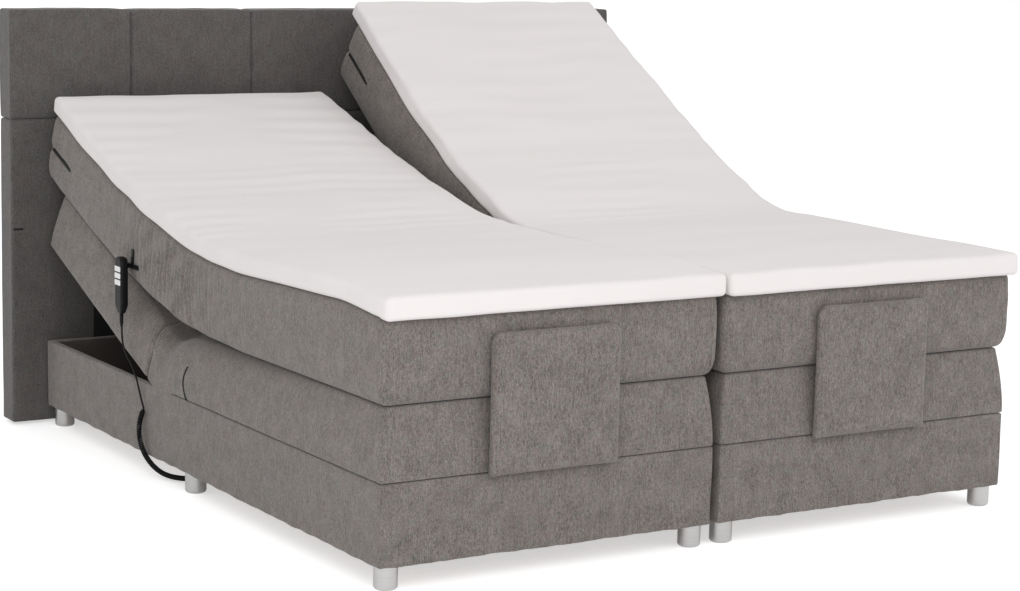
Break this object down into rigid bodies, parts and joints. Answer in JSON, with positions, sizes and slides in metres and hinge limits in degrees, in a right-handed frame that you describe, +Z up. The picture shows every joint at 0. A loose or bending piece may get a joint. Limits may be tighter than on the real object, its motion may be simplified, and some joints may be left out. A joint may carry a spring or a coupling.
{
  "type": "electric adjustable bed",
  "caption": "Twin electric boxspring bed: upholstered bases on metal feet, rising back and leg sections, mattresses, toppers, headboard and corded handset.",
  "frame": {"origin": "centre of the bed's footprint, on the floor", "axes": "+Z up, +Y towards the headboard, +X towards the right-hand side seen from the foot end"},
  "size_m": [2.018, 2.133, 1.1935],
  "materials": {
    "base_fabric": "woven melange upholstery",
    "headboard_fabric": "woven melange upholstery",
    "mattress_fabric": "woven melange cover over foam and springs",
    "topper_fabric": "fine knitted cover",
    "foot_metal": "satin",
    "steel": "zinc plated",
    "black_steel": "black powder coat",
    "plywood": "plain plywood",
    "black_plastic": "moulded, fine texture",
    "handset_plastic": "moulded, fine texture",
    "button_white": "moulded",
    "cord_rubber": "matt cable jacket"
  },
  "bodies": {
    "root": {"base_sides": "base_fabric", "base_ends": "base_fabric", "base_floors": "plywood", "feet": "foot_metal", "foot_bolts": "steel", "seat_frames": "black_steel", "hinge_pins": "steel", "drive_housings": "black_plastic", "control_boxes": "black_plastic", "headboard_core": "plywood", "headboard_lower_pad": "headboard_fabric", "headboard_upper_pad": "headboard_fabric", "headboard_brackets": "black_steel", "cord_gland": "black_plastic", "handset_front": "handset_plastic", "handset_back": "handset_plastic", "handset_hook": "handset_plastic", "handset_strain_relief": "cord_rubber", "handset_cord": "cord_rubber", "handset_curly_cord": "cord_rubber", "left_seat_pad": "base_fabric", "right_seat_pad": "base_fabric"},
    "left_back": {"left_back_pad": "base_fabric", "left_back_frame": "black_steel"},
    "left_thigh": {"left_thigh_pad": "base_fabric", "left_thigh_frame": "black_steel", "left_mattress_thigh": "mattress_fabric"},
    "left_calf": {"left_calf_pad": "base_fabric", "left_calf_frame": "black_steel", "left_mattress_stop": "base_fabric", "left_mattress_calf": "mattress_fabric", "left_topper_foot": "topper_fabric"},
    "left_lumbar": {"left_mattress_middle": "mattress_fabric"},
    "left_upper": {"left_topper_middle": "topper_fabric"},
    "left_mattress_head": {"left_mattress_head": "mattress_fabric", "left_topper_head": "topper_fabric"},
    "left_back_slider": {"left_back_slider": "black_plastic"},
    "left_leg_slider": {"left_leg_slider": "black_plastic"},
    "right_back": {"right_back_pad": "base_fabric", "right_back_frame": "black_steel"},
    "right_thigh": {"right_thigh_pad": "base_fabric", "right_thigh_frame": "black_steel", "right_mattress_thigh": "mattress_fabric"},
    "right_calf": {"right_calf_pad": "base_fabric", "right_calf_frame": "black_steel", "right_mattress_stop": "base_fabric", "right_mattress_calf": "mattress_fabric", "right_topper_foot": "topper_fabric"},
    "right_lumbar": {"right_mattress_middle": "mattress_fabric"},
    "right_upper": {"right_topper_middle": "topper_fabric"},
    "right_mattress_head": {"right_mattress_head": "mattress_fabric", "right_topper_head": "topper_fabric"},
    "right_back_slider": {"right_back_slider": "black_plastic"},
    "right_leg_slider": {"right_leg_slider": "black_plastic"},
    "button_1": {"handset_button_1": "button_white"},
    "button_2": {"handset_button_2": "button_white"},
    "button_3": {"handset_button_3": "button_white"},
    "button_4": {"handset_button_4": "button_white"},
    "button_5": {"handset_button_5": "button_white"},
    "button_6": {"handset_button_6": "button_white"}
  },
  "joints": [
    {"name": "left_back_hinge", "type": "hinge", "parent": "root", "child": "left_back", "pos_m": [-0.461, 0.2045, 0.32], "axis": [1, 0, 0], "range_deg": [-21, 39]},
    {"name": "left_mattress_lumbar_bend", "type": "hinge", "parent": "root", "child": "left_lumbar", "pos_m": [-0.461, -0.0955, 0.227], "axis": [1, 0, 0], "range_deg": [-10.51, 19.51], "deforming": ["left_mattress_middle"]},
    {"name": "left_mattress_upper_bend", "type": "hinge", "parent": "left_lumbar", "child": "left_upper", "pos_m": [-0.461, 0.50625, 0.33853], "axis": [1, 0, 0], "range_deg": [-10.51, 19.51], "deforming": ["left_topper_middle"]},
    {"name": "left_mattress_head_slide", "type": "slide", "parent": "left_upper", "child": "left_mattress_head", "axis": [0, 0.9336, 0.3584], "range_m": [-0.17386, 0.32271]},
    {"name": "left_back_drive", "type": "slide", "parent": "root", "child": "left_back_slider", "axis": [0, 1, 0], "range_m": [-0.03868, 0.07167]},
    {"name": "left_thigh_hinge", "type": "hinge", "parent": "root", "child": "left_thigh", "pos_m": [-0.461, -0.0065, 0.32], "axis": [-1, 0, 0], "range_deg": [0, 25]},
    {"name": "left_knee_hinge", "type": "hinge", "parent": "left_thigh", "child": "left_calf", "pos_m": [-0.461, -0.4015, 0.262], "axis": [1, 0, 0], "range_deg": [0, 31.27]},
    {"name": "left_leg_drive", "type": "slide", "parent": "root", "child": "left_leg_slider", "axis": [0, -1, 0], "range_m": [0, 0.0475]},
    {"name": "right_back_hinge", "type": "hinge", "parent": "root", "child": "right_back", "pos_m": [0.461, 0.2045, 0.32], "axis": [1, 0, 0], "range_deg": [-36, 24]},
    {"name": "right_mattress_lumbar_bend", "type": "hinge", "parent": "root", "child": "right_lumbar", "pos_m": [0.461, -0.0955, 0.227], "axis": [1, 0, 0], "range_deg": [-18.01, 12.01], "deforming": ["right_mattress_middle"]},
    {"name": "right_mattress_upper_bend", "type": "hinge", "parent": "right_lumbar", "child": "right_upper", "pos_m": [0.461, 0.48655, 0.41612], "axis": [1, 0, 0], "range_deg": [-18.01, 12.01], "deforming": ["right_topper_middle"]},
    {"name": "right_mattress_head_slide", "type": "slide", "parent": "right_upper", "child": "right_mattress_head", "axis": [0, 0.809, 0.5878], "range_m": [-0.32755, 0.21844]},
    {"name": "right_back_drive", "type": "slide", "parent": "root", "child": "right_back_slider", "axis": [0, 1, 0], "range_m": [-0.06617, 0.04418]},
    {"name": "right_thigh_hinge", "type": "hinge", "parent": "root", "child": "right_thigh", "pos_m": [0.461, -0.0065, 0.32], "axis": [-1, 0, 0], "range_deg": [0, 25]},
    {"name": "right_knee_hinge", "type": "hinge", "parent": "right_thigh", "child": "right_calf", "pos_m": [0.461, -0.4015, 0.262], "axis": [1, 0, 0], "range_deg": [0, 31.27]},
    {"name": "right_leg_drive", "type": "slide", "parent": "root", "child": "right_leg_slider", "axis": [0, -1, 0], "range_m": [0, 0.0475]},
    {"name": "button_1_press", "type": "slide", "parent": "root", "child": "button_1", "axis": [1, 0, 0], "range_m": [0, 0.001], "stiffness_N_per_m": 400},
    {"name": "button_2_press", "type": "slide", "parent": "root", "child": "button_2", "axis": [1, 0, 0], "range_m": [0, 0.001], "stiffness_N_per_m": 400},
    {"name": "button_3_press", "type": "slide", "parent": "root", "child": "button_3", "axis": [1, 0, 0], "range_m": [0, 0.001], "stiffness_N_per_m": 400},
    {"name": "button_4_press", "type": "slide", "parent": "root", "child": "button_4", "axis": [1, 0, 0], "range_m": [0, 0.001], "stiffness_N_per_m": 400},
    {"name": "button_5_press", "type": "slide", "parent": "root", "child": "button_5", "axis": [1, 0, 0], "range_m": [0, 0.001], "stiffness_N_per_m": 400},
    {"name": "button_6_press", "type": "slide", "parent": "root", "child": "button_6", "axis": [1, 0, 0], "range_m": [0, 0.001], "stiffness_N_per_m": 400}
  ],
  "couplings": [
    {"joint": "left_mattress_lumbar_bend", "follows": "left_back_hinge", "ratio": 0.5},
    {"joint": "left_mattress_upper_bend", "follows": "left_back_hinge", "ratio": 0.5},
    {"joint": "left_mattress_head_slide", "follows": "left_back_hinge", "m_per_rad": 0.4738},
    {"joint": "left_back_drive", "follows": "left_back_hinge", "m_per_rad": 0.105},
    {"joint": "left_knee_hinge", "follows": "left_thigh_hinge", "ratio": 1.25},
    {"joint": "left_leg_drive", "follows": "left_thigh_hinge", "m_per_rad": 0.1084},
    {"joint": "right_mattress_lumbar_bend", "follows": "right_back_hinge", "ratio": 0.5},
    {"joint": "right_mattress_upper_bend", "follows": "right_back_hinge", "ratio": 0.5},
    {"joint": "right_mattress_head_slide", "follows": "right_back_hinge", "m_per_rad": 0.521},
    {"joint": "right_back_drive", "follows": "right_back_hinge", "m_per_rad": 0.105},
    {"joint": "right_knee_hinge", "follows": "right_thigh_hinge", "ratio": 1.25},
    {"joint": "right_leg_drive", "follows": "right_thigh_hinge", "m_per_rad": 0.1084}
  ]
}
